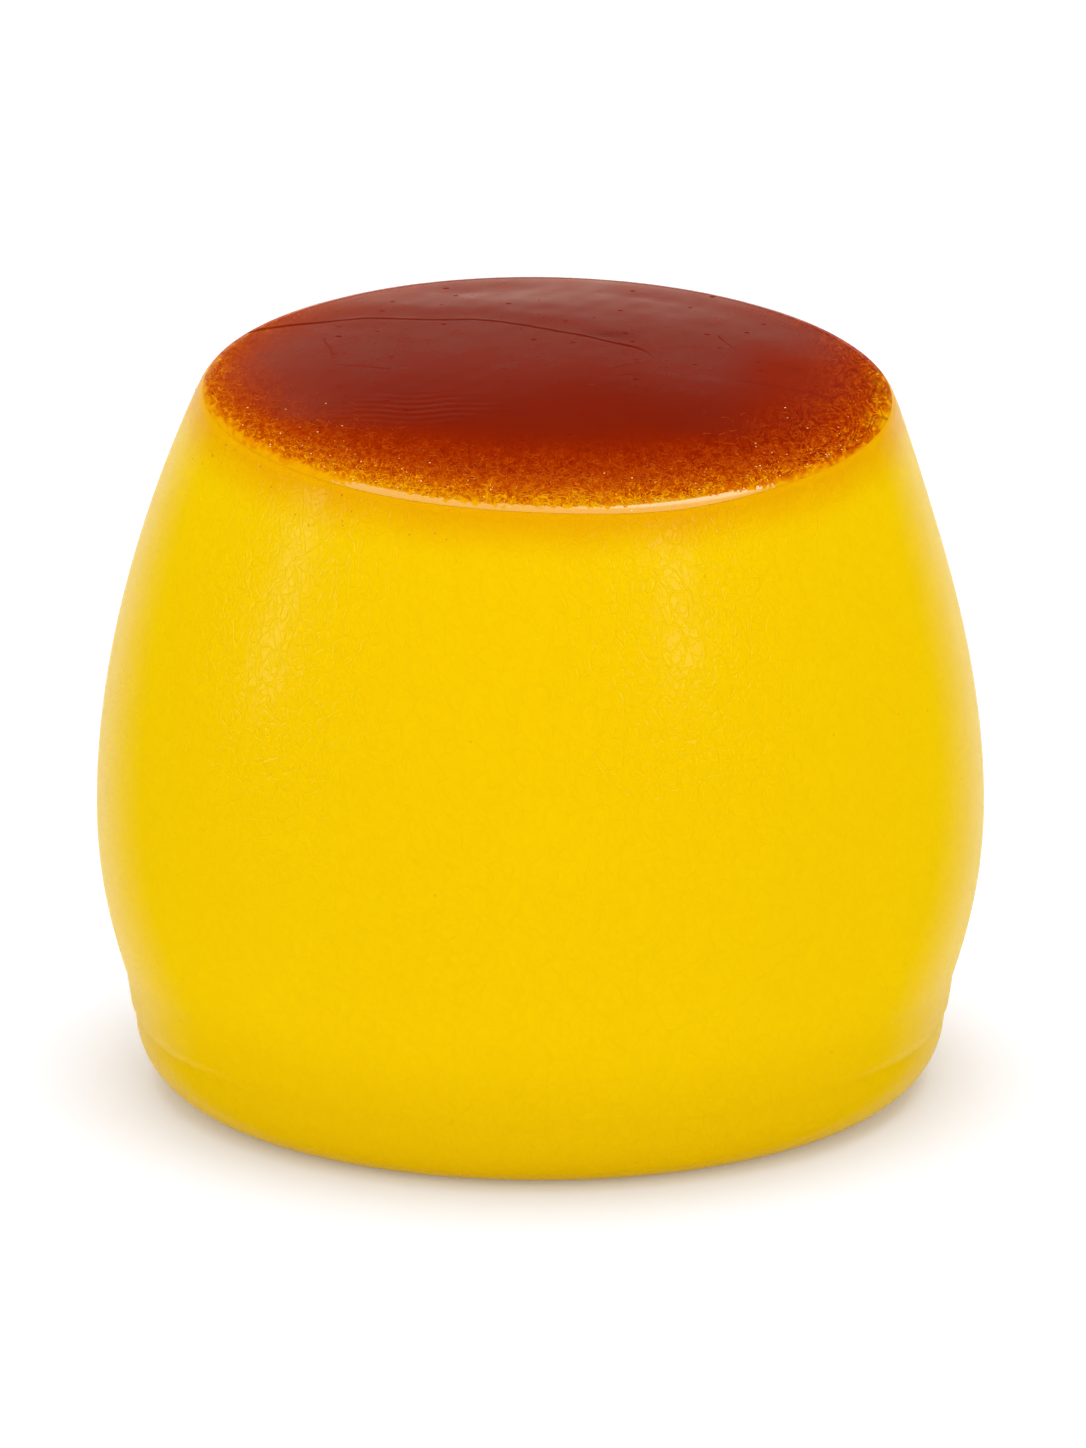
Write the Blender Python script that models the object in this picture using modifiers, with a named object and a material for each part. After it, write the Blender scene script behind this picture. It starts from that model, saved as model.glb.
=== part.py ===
"""A caramel pudding turned out of its cup: a soft barrel of custard under a thin layer of set caramel.

Run it with blender --background --python part.py, or from Blender's text editor. Everything is in metres, +Z up.
The origin is at the middle of the flat foot that the pudding stands on, and -Y is the side that faces the viewer.
"""

import math

import bpy

# The custard's side, from the foot up: a rounded foot, a low collar left by the cup's mouth, then the sagging barrel.
FOOT_RADIUS = 0.0254
FOOT_RISE = 0.0052
COLLAR_RADIUS = 0.0301
NOTCH_RADIUS = 0.0306
NOTCH_HEIGHT = 0.0079
NOTCH_BLEND = 0.0012
BARREL_RADIUS = 0.0330
BARREL_HEIGHT = 0.0208
SIDE_FULLNESS = 1.25
SHOULDER_RADIUS = 0.0259
SHOULDER_ROUND = 0.0005

# The caramel: a lens, thick in the middle, whose low crown rolls over a soft lip to a thin edge.
LIP_HEIGHT = 0.0526
LIP_DROP = 0.00065
LIP_REACH = 0.0013
CARAMEL_RADIUS = 0.0256
CARAMEL_EDGE = 0.00015
CROWN_RISE = 0.0009
UNDER_DEPTH = 0.0016
SEAT_GAP = 0.0003

# How the soft pudding has settled: its top leans towards the viewer and a little to the right.
TILT_BACK = 0.080
TILT_SIDE = -0.0165
LEAN_SIDE = 0.0005

# How finely the curves are divided.
TURN_STEPS = 84
CROWN_STEPS = 8
SEAT_STEPS = 6
LIP_STEPS = 4
BARREL_STEPS = 9
COLLAR_STEPS = 3
FOOT_STEPS = 5
MERGE_DISTANCE = 0.00001

CUSTARD_YELLOW = (0.94, 0.58, 0.010, 1.0)
CARAMEL_BROWN = (0.24, 0.022, 0.003, 1.0)

UNDER_HEIGHT = LIP_HEIGHT - LIP_DROP - CARAMEL_EDGE
SHOULDER_HEIGHT = UNDER_HEIGHT - SEAT_GAP


def clear_scene():
    for old in list(bpy.data.objects):
        bpy.data.objects.remove(old, do_unlink=True)


def finish(name, color, roughness):
    material = bpy.data.materials.new(name)
    material.use_nodes = True
    shader = material.node_tree.nodes["Principled BSDF"]
    shader.inputs["Base Color"].default_value = color
    shader.inputs["Roughness"].default_value = roughness
    shader.inputs["Metallic"].default_value = 0.0
    material.diffuse_color = color
    return material


def steps(count):
    """Even parts from 0 to 1, both ends included."""
    return [i / count for i in range(count + 1)]


def arc(radius, height, reach, rise, start, end, count):
    """Points of an ellipse's arc about (radius, height), angles in degrees from the outward direction."""
    turns = [math.radians(start + (end - start) * part) for part in steps(count)]
    return [(radius + reach * math.cos(turn), height + rise * math.sin(turn)) for turn in turns]


def dish(radius):
    """How far the caramel's underside, and the seat below it, sink below their edge."""
    return UNDER_DEPTH * (1 - (radius / CARAMEL_RADIUS) ** 2)


def caramel_profile():
    """The lens from the middle of its crown, over its lip, and back under to the middle."""
    inner = CARAMEL_RADIUS - LIP_REACH
    crown = [(inner * part, LIP_HEIGHT + CROWN_RISE * (1 - part**2)) for part in steps(CROWN_STEPS)]
    lip = arc(inner, LIP_HEIGHT - LIP_DROP, LIP_REACH, LIP_DROP, 90, 0, LIP_STEPS)
    radii = [CARAMEL_RADIUS * part for part in steps(SEAT_STEPS)]
    under = [(radius, UNDER_HEIGHT - dish(radius)) for radius in reversed(radii)]
    return crown + lip[1:] + under


def side_radius(height):
    """Radius of the custard's side above the notch, widest where the barrel sags."""
    if height >= BARREL_HEIGHT:
        part = (height - BARREL_HEIGHT) / (SHOULDER_HEIGHT - BARREL_HEIGHT)
        narrowing = part**2 * (SIDE_FULLNESS + (1 - SIDE_FULLNESS) * part)
        return BARREL_RADIUS - (BARREL_RADIUS - SHOULDER_RADIUS) * narrowing
    part = (BARREL_HEIGHT - height) / (BARREL_HEIGHT - NOTCH_HEIGHT)
    return BARREL_RADIUS - (BARREL_RADIUS - NOTCH_RADIUS) * part**2


def custard_profile():
    """The seat for the caramel from its middle out, the shoulder, the side and the foot, and in to the middle."""
    flat = SHOULDER_RADIUS - SHOULDER_ROUND
    seat = [(flat * part, SHOULDER_HEIGHT - dish(flat * part)) for part in steps(SEAT_STEPS)]
    shoulder = arc(flat, seat[-1][1] - SHOULDER_ROUND, SHOULDER_ROUND, SHOULDER_ROUND, 90, 20, 2)
    top, bottom = SHOULDER_HEIGHT - 2 * SHOULDER_ROUND, NOTCH_HEIGHT + NOTCH_BLEND
    heights = [top + (bottom - top) * part for part in steps(BARREL_STEPS)]
    barrel = [(side_radius(height), height) for height in heights]
    low = NOTCH_HEIGHT - NOTCH_BLEND
    narrowing, fall = COLLAR_RADIUS - NOTCH_RADIUS, FOOT_RISE - low
    collar = [(NOTCH_RADIUS + narrowing * part, low + fall * part) for part in steps(COLLAR_STEPS)]
    foot = arc(FOOT_RADIUS, FOOT_RISE, COLLAR_RADIUS - FOOT_RADIUS, FOOT_RISE, 0, -90, FOOT_STEPS)
    return seat + shoulder[1:] + barrel + collar + foot[1:] + [(0.0, 0.0)]


def turned(name, profile):
    """A mesh turned about Z from a profile that starts and ends on the axis."""
    outline = bpy.data.meshes.new(name + "_outline")
    points = [(radius, 0.0, height) for radius, height in profile]
    outline.from_pydata(points, [(i, i + 1) for i in range(len(points) - 1)], [])
    guide = bpy.data.objects.new(name + "_outline", outline)
    bpy.context.scene.collection.objects.link(guide)
    screw = guide.modifiers.new("Turn", "SCREW")
    screw.axis = "Z"
    screw.angle = 2 * math.pi
    screw.steps = screw.render_steps = TURN_STEPS
    screw.use_merge_vertices = True
    screw.merge_threshold = MERGE_DISTANCE
    graph = bpy.context.evaluated_depsgraph_get()
    mesh = bpy.data.meshes.new_from_object(guide.evaluated_get(graph))
    mesh.name = name
    bpy.data.objects.remove(guide)
    return mesh


def settle(mesh):
    """Leans the top of the soft custard, more the higher it is, and leaves the foot flat."""
    for vertex in mesh.vertices:
        x, y, z = vertex.co
        share = z / SHOULDER_HEIGHT
        vertex.co.x = x + LEAN_SIDE * share**6
        vertex.co.z = z + (TILT_SIDE * x + TILT_BACK * y) * share**2


def node(collection, name, profile, material):
    mesh = turned(name, profile)
    settle(mesh)
    mesh.materials.clear()
    mesh.materials.append(material)
    mesh.shade_smooth()
    mesh.set_sharp_from_angle(angle=math.radians(50))
    made = bpy.data.objects.new(name, mesh)
    collection.objects.link(made)
    return made


def build():
    clear_scene()
    pudding = bpy.data.collections.new("caramel_pudding")
    bpy.context.scene.collection.children.link(pudding)
    node(pudding, "custard", custard_profile(), finish("custard", CUSTARD_YELLOW, 0.35))
    node(pudding, "caramel", caramel_profile(), finish("caramel", CARAMEL_BROWN, 0.25))


build()
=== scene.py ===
"""A caramel pudding turned out of its cup, dressed and lit as a studio picture.

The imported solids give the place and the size. The custard and the caramel are turned again as fine meshes
over them, settled by the same lean, and given procedural finishes. Lengths are in metres, +Z is up and -Y is
the front, unless a comment says millimetres.
"""

from __future__ import annotations

import logging
import math
from dataclasses import dataclass, field
from enum import Enum
from typing import Any

import bpy
import numpy as np
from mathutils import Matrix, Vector

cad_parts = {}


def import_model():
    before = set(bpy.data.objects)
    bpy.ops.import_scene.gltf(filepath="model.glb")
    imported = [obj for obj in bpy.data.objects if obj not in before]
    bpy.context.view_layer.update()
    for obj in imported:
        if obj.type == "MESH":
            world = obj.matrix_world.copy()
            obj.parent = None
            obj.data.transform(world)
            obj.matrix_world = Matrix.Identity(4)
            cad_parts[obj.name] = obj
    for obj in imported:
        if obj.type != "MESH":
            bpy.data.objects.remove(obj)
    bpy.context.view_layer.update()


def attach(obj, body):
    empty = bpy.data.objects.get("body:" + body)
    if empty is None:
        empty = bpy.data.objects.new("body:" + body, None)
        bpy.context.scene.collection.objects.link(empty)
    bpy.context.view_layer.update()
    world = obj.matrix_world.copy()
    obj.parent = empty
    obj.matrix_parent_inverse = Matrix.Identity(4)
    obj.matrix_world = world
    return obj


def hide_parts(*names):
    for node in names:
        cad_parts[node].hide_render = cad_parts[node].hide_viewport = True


MM = 0.001
Colour = tuple[float, float, float]
Fade = tuple[float, float]
Stops = tuple[tuple[float, Colour], ...]
WHITE: Colour = (1.0, 1.0, 1.0)

# Caramel's colour from none, at 0, through its thin edge to its full thickness, at 1.
CARAMEL_STOPS: Stops = (
    (0.00, (0.728, 0.335, 0.0006)),
    (0.08, (0.680, 0.252, 0.0006)),
    (0.15, (0.637, 0.196, 0.0006)),
    (0.22, (0.587, 0.148, 0.0006)),
    (0.32, (0.520, 0.104, 0.0005)),
    (0.43, (0.456, 0.072, 0.0005)),
    (0.55, (0.395, 0.0475, 0.0004)),
    (0.66, (0.345, 0.0325, 0.0004)),
    (0.78, (0.292, 0.0215, 0.0003)),
    (0.88, (0.248, 0.0144, 0.0003)),
    (0.95, (0.226, 0.0114, 0.0002)),
    (1.00, (0.213, 0.0098, 0.0002)),
)

log = logging.getLogger("pudding")


class Node(Enum):
    """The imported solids, each with the material slot of the same name."""

    CUSTARD = "custard"
    CARAMEL = "caramel"


class Ray(Enum):
    """Kinds of ray that the studio's surroundings answer in their own way."""

    CAMERA = "Is Camera Ray"
    GLOSSY = "Is Glossy Ray"


@dataclass(frozen=True)
class Wire:
    """One output socket of a node tree. Arithmetic on it adds Math nodes to the tree.

    Args:
        desk: the tree that the socket belongs to.
        socket: the output socket.
    """

    desk: NodeDesk
    socket: bpy.types.NodeSocket

    def _maths(self, operation: str, *values: Wire | float) -> Wire:
        """Adds a Math node for an operation on one to three values."""
        return self.desk.node("ShaderNodeMath", {"operation": operation}, dict(enumerate(values)))

    def __add__(self, other: Wire | float) -> Wire:
        """Sum of two values."""
        return self._maths("ADD", self, other)

    def __radd__(self, other: float) -> Wire:
        """Sum with a number on the left."""
        return self._maths("ADD", other, self)

    def __sub__(self, other: Wire | float) -> Wire:
        """Difference of two values."""
        return self._maths("SUBTRACT", self, other)

    def __rsub__(self, other: float) -> Wire:
        """Difference from a number on the left."""
        return self._maths("SUBTRACT", other, self)

    def __mul__(self, other: Wire | float) -> Wire:
        """Product of two values."""
        return self._maths("MULTIPLY", self, other)

    def __truediv__(self, other: Wire | float) -> Wire:
        """Quotient of two values."""
        return self._maths("DIVIDE", self, other)

    def __pow__(self, other: float) -> Wire:
        """The value raised to a power."""
        return self._maths("POWER", self, other)

    def __abs__(self) -> Wire:
        """Size of the value without its sign."""
        return self._maths("ABSOLUTE", self)

    def most(self, other: Wire | float) -> Wire:
        """The larger of two values."""
        return self._maths("MAXIMUM", self, other)

    def sine(self) -> Wire:
        """The sine of the value in radians."""
        return self._maths("SINE", self)

    def cosine(self) -> Wire:
        """The cosine of the value in radians."""
        return self._maths("COSINE", self)

    def step(self, low: float, high: float) -> Wire:
        """Rises smoothly from 0 at low to 1 at high; low may be the larger.

        Args:
            low: value where the step is 0.
            high: value where the step is 1.

        Returns:
            The step, held between 0 and 1.
        """
        settings = {"interpolation_type": "SMOOTHSTEP"}
        return self.desk.node("ShaderNodeMapRange", settings, {0: self, 1: low, 2: high, 3: 0.0, 4: 1.0})


class NodeDesk:
    """Adds nodes to one shader, world or geometry tree."""

    def __init__(self, tree: bpy.types.NodeTree) -> None:
        """Starts from an empty tree.

        Args:
            tree: the tree to fill; its nodes are removed.
        """
        self.tree = tree
        tree.nodes.clear()

    def node(
        self,
        kind: str,
        settings: dict[str, Any] | None = None,
        inputs: dict[str | int, Any] | None = None,
        output: str | int = 0,
    ) -> Wire:
        """Adds a node, sets it up and joins it.

        Args:
            kind: the node's type name.
            settings: properties set before any socket; stops gives a colour ramp's positions and colours.
            inputs: a value or a Wire for each named or numbered input socket.
            output: name or number of the output to return.

        Returns:
            The chosen output, or the last input of a node that has no output.
        """
        made = self.tree.nodes.new(kind)
        for key, value in (settings or {}).items():
            if key == "stops":
                self._set_stops(made.color_ramp, value)
            else:
                setattr(made, key, value)
        for key, value in (inputs or {}).items():
            socket = self._socket(made.inputs, key)
            if isinstance(value, Wire):
                self.tree.links.new(value.socket, socket)
            else:
                socket.default_value = value
        if not made.outputs:
            return Wire(self, made.inputs[-1])
        return Wire(self, self._socket(made.outputs, output))

    @staticmethod
    def _socket(sockets: Any, key: str | int) -> bpy.types.NodeSocket:
        """Finds a socket by number, or by name among those in use."""
        if isinstance(key, int):
            return sockets[key]
        return next(s for s in sockets if s.name == key and s.enabled)

    @staticmethod
    def _set_stops(ramp: bpy.types.ColorRamp, stops: Stops) -> None:
        """Gives a colour ramp its stops, from low to high."""
        while len(ramp.elements) > 1:
            ramp.elements.remove(ramp.elements[-1])
        ramp.elements[0].position = stops[0][0]
        ramp.elements[0].color = (*stops[0][1], 1.0)
        for position, colour in stops[1:]:
            ramp.elements.new(position).color = (*colour, 1.0)

    def place(self, scale: tuple[float, float, float] = (1.0, 1.0, 1.0)) -> Wire:
        """Object coordinates, stretched by a Mapping node.

        Args:
            scale: factor along each axis; below 1 draws a pattern out along it.

        Returns:
            The coordinates as a vector.
        """
        coordinates = self.node("ShaderNodeTexCoord", output="Object")
        return self.node("ShaderNodeMapping", {}, {"Vector": coordinates, "Scale": scale})

    def noise(self, vector: Wire, scale: float, detail: float = 2.0, distortion: float = 0.0) -> Wire:
        """Noise around 0.5.

        Args:
            vector: where to read it.
            scale: cells per metre.
            detail: number of finer layers.
            distortion: how far the pattern is swirled.

        Returns:
            The noise value.
        """
        inputs = {"Vector": vector, "Scale": scale, "Detail": detail, "Distortion": distortion}
        return self.node("ShaderNodeTexNoise", {}, inputs, "Fac")

    def mix(self, factor: Wire | float, first: Any, second: Any) -> Wire:
        """Blends two colours.

        Args:
            factor: 0 for the first colour, 1 for the second.
            first: a Wire or a linear colour.
            second: a Wire or a linear colour.

        Returns:
            The blended colour.
        """
        pair = [c if isinstance(c, Wire) else (*c, 1.0) for c in (first, second)]
        inputs = {"Factor": factor, "A": pair[0], "B": pair[1]}
        return self.node("ShaderNodeMix", {"data_type": "RGBA"}, inputs, "Result")

    def ramp(self, level: Wire, stops: Stops) -> Wire:
        """The colour that a ramp has at a level."""
        return self.node("ShaderNodeValToRGB", {"stops": stops}, {"Fac": level})

    def cells(self, vector: Wire, scale: float, picked: Fade, flat: bool = False) -> tuple[Wire, Wire]:
        """Scattered cells, some of which are picked by chance.

        Args:
            vector: where to read them.
            scale: cells per metre.
            picked: the draw, from 0 to 1, where a cell starts to count, and where it counts in full.
            flat: whether the pattern is the same at every height.

        Returns:
            The distance to the middle of the nearest cell, and how far that cell is picked.
        """
        kind = {"feature": "F1", "voronoi_dimensions": "2D" if flat else "3D"}
        inputs = {"Vector": vector, "Scale": scale, "Randomness": 1.0}
        distance = self.node("ShaderNodeTexVoronoi", kind, inputs, "Distance")
        draw = Wire(self, self._socket(distance.socket.node.outputs, "Color"))
        return distance, self.node("ShaderNodeSeparateColor", {}, {"Color": draw}, "Red").step(*picked)

    def attribute(self, name: str) -> Wire:
        """A number stored on the mesh."""
        return self.node("ShaderNodeAttribute", {"attribute_name": name}, output="Fac")

    def parts(self, vector: Wire) -> tuple[Wire, Wire, Wire]:
        """The x, y and z of a vector."""
        split = self.node("ShaderNodeSeparateXYZ", {}, {0: vector})
        return tuple(Wire(self, socket) for socket in split.socket.node.outputs)

    def bump(self, height: Wire, distance: float, strength: float = 1.0, normal: Wire | None = None) -> Wire:
        """Bump of a height field.

        Args:
            height: the field, about 0 to 1.
            distance: how high 1 stands, in metres.
            strength: share of the effect.
            normal: an earlier bump to add to.

        Returns:
            The bent normal.
        """
        inputs: dict[str | int, Any] = {"Height": height, "Distance": distance, "Strength": strength}
        if normal is not None:
            inputs["Normal"] = normal
        return self.node("ShaderNodeBump", {}, inputs)


@dataclass(frozen=True)
class Finish:
    """A surface finish with one Principled shader.

    Args:
        name: the material's name.
        roughness: spread of the gloss.
        specular: the shader's specular level, which sets how bright the gloss is.
        coat_roughness: spread of the wet coat's gloss, on a finish that has one.
        coat_ior: the coat's index of refraction.
    """

    name: str
    roughness: float
    specular: float
    coat_roughness: float = 0.15
    coat_ior: float = 1.5

    def make(self) -> bpy.types.Material:
        """Builds the material.

        Returns:
            The finished material.
        """
        material = bpy.data.materials.new(self.name)
        material.use_nodes = True
        desk = NodeDesk(material.node_tree)
        constants = {"Roughness": self.roughness, "Specular IOR Level": self.specular}
        shader = desk.node("ShaderNodeBsdfPrincipled", {}, {**constants, **self.surface(desk)})
        desk.node("ShaderNodeOutputMaterial", {}, {"Surface": shader})
        return material

    def surface(self, desk: NodeDesk) -> dict[str | int, Any]:
        """What the shader's sockets get.

        Args:
            desk: the material's tree.

        Returns:
            A value or a Wire for each socket by name.
        """
        raise NotImplementedError


@dataclass(frozen=True)
class Crazing:
    """One layer of fine cracks in the custard's skin.

    Args:
        scale: cells of unbroken skin per metre.
        width: width of a crack as a share of a cell.
        strength: how strongly the layer shows.
        squash: the cells' factor along Z; below 1 makes them taller.
        wander_scale: swirls per cell that bend the cracks.
        wander: how far the swirls bend them, in cells.
    """

    scale: float
    width: float
    strength: float = 1.0
    squash: float = 0.75
    wander_scale: float = 1.6
    wander: float = 1.1

    def mask(self, desk: NodeDesk) -> Wire:
        """Draws the cracks between the cells.

        Args:
            desk: the material's tree.

        Returns:
            The layer's strength in a crack and 0 on a cell.
        """
        place = desk.place((1.0, 1.0, self.squash))
        swirls = {"Vector": place, "Scale": self.scale * self.wander_scale, "Detail": 0.0}
        swirl = desk.node("ShaderNodeTexNoise", {}, swirls, "Color")
        reach = {0: swirl, "Scale": self.wander / self.scale}
        moved = desk.node("ShaderNodeVectorMath", {"operation": "SCALE"}, reach)
        bent = desk.node("ShaderNodeVectorMath", {"operation": "ADD"}, {0: place, 1: moved})
        cells = {"Vector": bent, "Scale": self.scale}
        gap = desk.node("ShaderNodeTexVoronoi", {"feature": "DISTANCE_TO_EDGE"}, cells, "Distance")
        return gap.step(self.width, 0.0) * self.strength


@dataclass(frozen=True)
class CustardFinish(Finish):
    """Moist set custard: clear yellow, deeper under the caramel, darker at the foot with painted shade, with
    crazed skin and pores.

    Args:
        sheen: weight of its gloss seen straight on.
        edge_sheen: weight added to it where the side turns away.
        turning: how far the side has turned away where that starts, and where it is full.
        yellow: its main colour.
        pale: colour of its soft paler patches.
        stained: colour just under the caramel.
        foot: darker colour at the floor, painted shade where less light reaches the bottom.
        pore: colour of its pores and cracks.
        paleness: how strongly the pale patches show.
        pore_tone: how strongly the pores show.
        crack_tone: how strongly the cracks show.
        patch_scale: pale patches per metre.
        pore_scale: cells per metre, each with one pore at most.
        pore_size: where a pore ends, and where it is full, as a share of a cell.
        pore_draw: the draw, from 0 to 1, where a cell starts to hold a pore, and where it holds one in full.
        stain_fade: millimetres below the rim where the stain ends, and where it is full.
        stain_wander: how far the stain's edge wanders, in millimetres over the noise's range.
        foot_shade_fade: height in millimetres where the foot's painted shade starts, and where it is full.
        swell_height: height of the skin's soft swells.
        grain_height: height of its facets, grain and cracks.
        crazing: the two layers of cracks.
        glow: share of the light that goes through the skin and comes out again.
        glow_reach: how far inside that light goes.
        glow_colour: share of that reach for red, green and blue light.
    """

    name: str = "custard_skin"
    roughness: float = 0.40
    specular: float = 0.0
    sheen: float = 0.010
    edge_sheen: float = 0.36
    turning: Fade = (0.54, 0.84)
    yellow: Colour = (0.880, 0.554, 0.0003)
    pale: Colour = (0.888, 0.567, 0.0004)
    stained: Colour = (0.796, 0.350, 0.0003)
    foot: Colour = (0.772, 0.474, 0.0006)
    pore: Colour = (0.680, 0.300, 0.0010)
    paleness: float = 0.7
    pore_tone: float = 0.4
    crack_tone: float = 0.040
    patch_scale: float = 60.0
    pore_scale: float = 420.0
    pore_size: Fade = (0.075, 0.035)
    pore_draw: Fade = (0.80, 0.84)
    stain_fade: Fade = (4.3, -0.2)
    stain_wander: float = 1.1
    foot_shade_fade: Fade = (13.5, -0.5)
    swell_height: float = 0.060 * MM
    grain_height: float = 0.030 * MM
    crazing: tuple[Crazing, Crazing] = (Crazing(620.0, 0.10), Crazing(1250.0, 0.12, 0.55))
    glow: float = 0.22
    glow_reach: float = 2.4 * MM
    glow_colour: Colour = (1.0, 0.55, 0.08)

    def colour(self, desk: NodeDesk, place: Wire, cracks: Wire) -> Wire:
        """Yellow with soft patches, painted shade at the foot, the caramel's tint, pores and cracks.

        Args:
            desk: the material's tree.
            place: Object coordinates.
            cracks: mask of the cracks.

        Returns:
            The colour.
        """
        height = desk.parts(place)[2] / MM
        patches = desk.noise(place, self.patch_scale).step(0.50, 0.80)
        uneven = (desk.noise(place, 240.0, 3.0) - 0.5) * self.stain_wander
        stain = (desk.attribute("below_rim") + uneven).step(*self.stain_fade)
        dot, picked = desk.cells(place, self.pore_scale, self.pore_draw)
        pores = dot.step(*self.pore_size) * picked
        colour = desk.mix(patches * self.paleness, self.yellow, self.pale)
        # painted shade: the colour darkens towards the foot, where less light reaches
        colour = desk.mix(height.step(*self.foot_shade_fade), colour, self.foot)
        colour = desk.mix(stain, colour, self.stained)
        colour = desk.mix(pores * self.pore_tone, colour, self.pore)
        return desk.mix(cracks * self.crack_tone, colour, self.pore)

    def relief(self, desk: NodeDesk, place: Wire, cracks: Wire) -> Wire:
        """Soft swells under a finer layer of facets, grain and cracks.

        Args:
            desk: the material's tree.
            place: Object coordinates.
            cracks: mask of the cracks.

        Returns:
            The bent normal.
        """
        swells = desk.bump(desk.noise(place, 260.0, 1.0), self.swell_height, 0.60)
        facets, grain = desk.noise(place, 900.0, 1.0, 0.8), desk.noise(place, 2300.0, 0.0)
        return desk.bump(facets * 0.9 - cracks * 0.9 + grain * 0.25, self.grain_height, 0.75, swells)

    def surface(self, desk: NodeDesk) -> dict[str | int, Any]:
        """Tinted and crazed skin whose gloss grows where the side turns away."""
        place = desk.place()
        cracks = self.crazing[0].mask(desk).most(self.crazing[1].mask(desk))
        away = desk.node("ShaderNodeLayerWeight", {}, {"Blend": 0.5}, "Facing").step(*self.turning)
        normal = self.relief(desk, place, cracks)
        return {
            "Base Color": self.colour(desk, place, cracks),
            "Coat Weight": away * self.edge_sheen + self.sheen,
            "Coat Roughness": self.coat_roughness,
            "Coat IOR": self.coat_ior,
            "Normal": normal,
            "Coat Normal": normal,
            "Subsurface Weight": self.glow,
            "Subsurface Radius": self.glow_colour,
            "Subsurface Scale": self.glow_reach,
        }


@dataclass(frozen=True)
class Scratch:
    """A straight thin mark on the caramel, in millimetres from the middle of the top.

    Args:
        start: where it starts, to the right and to the back.
        end: where it ends.
        width: half its width.
    """

    start: tuple[float, float]
    end: tuple[float, float]
    width: float = 0.14

    def mask(self, x: Wire, y: Wire) -> Wire:
        """1 along the mark and 0 away from it.

        Args:
            x: place from left to right, in millimetres.
            y: place from front to back.

        Returns:
            The mask.
        """
        run, climb = self.end[0] - self.start[0], self.end[1] - self.start[1]
        length = math.hypot(run, climb)
        run, climb = run / length, climb / length
        along = x * run + y * climb - (self.start[0] * run + self.start[1] * climb)
        across = x * climb - y * run - (self.start[0] * climb - self.start[1] * run)
        ends = along.step(-0.1, 0.4) * along.step(length + 0.1, length - 0.6)
        return abs(across).step(self.width, 0.0) * ends


@dataclass(frozen=True)
class Strand:
    """One kind of fine line in the caramel's thin edge.

    Args:
        scale: cells of its pattern per metre.
        width: half a line's width, as a share of the noise's range.
        tone: how much thicker the caramel looks on a line; below 0 it looks thinner.
        height: how far a line stands up in the bump.
    """

    scale: float
    width: float
    tone: float
    height: float = 0.0

    def mask(self, desk: NodeDesk, vector: Wire) -> Wire:
        """Wandering lines, from the middle level of a swirled noise.

        Args:
            desk: the material's tree.
            vector: where to read the pattern.

        Returns:
            1 on a line and 0 off it.
        """
        return abs(desk.noise(vector, self.scale, 1.0, 1.5) - 0.5).step(self.width, self.width * 0.2)


@dataclass(frozen=True)
class Pits:
    """Small uneven pits strewn over the caramel.

    Args:
        scale: cells per metre, with one pit in a cell at most.
        size: radius of a pit as a share of a cell.
        bare: share of the cells that have no pit.
        strength: how strongly the pits show.
        unevenness: how far a pit's edge wanders, as a share of its radius.
    """

    scale: float
    size: float
    bare: float
    strength: float = 1.0
    unevenness: float = 1.5

    def mask(self, desk: NodeDesk) -> Wire:
        """Draws the pits, a little wider than deep as seen from above.

        Args:
            desk: the material's tree.

        Returns:
            The pits' strength inside one and 0 outside.
        """
        wander = desk.noise(desk.place(), self.scale * 4.5, 1.0) - 0.5
        stretched = desk.place((0.75, 1.0, 1.0))
        spot, picked = desk.cells(stretched, self.scale, (self.bare, self.bare + 0.25), flat=True)
        inside = (spot + wander * self.size * self.unevenness).step(self.size, self.size * 0.3)
        return inside * picked * self.strength


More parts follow.
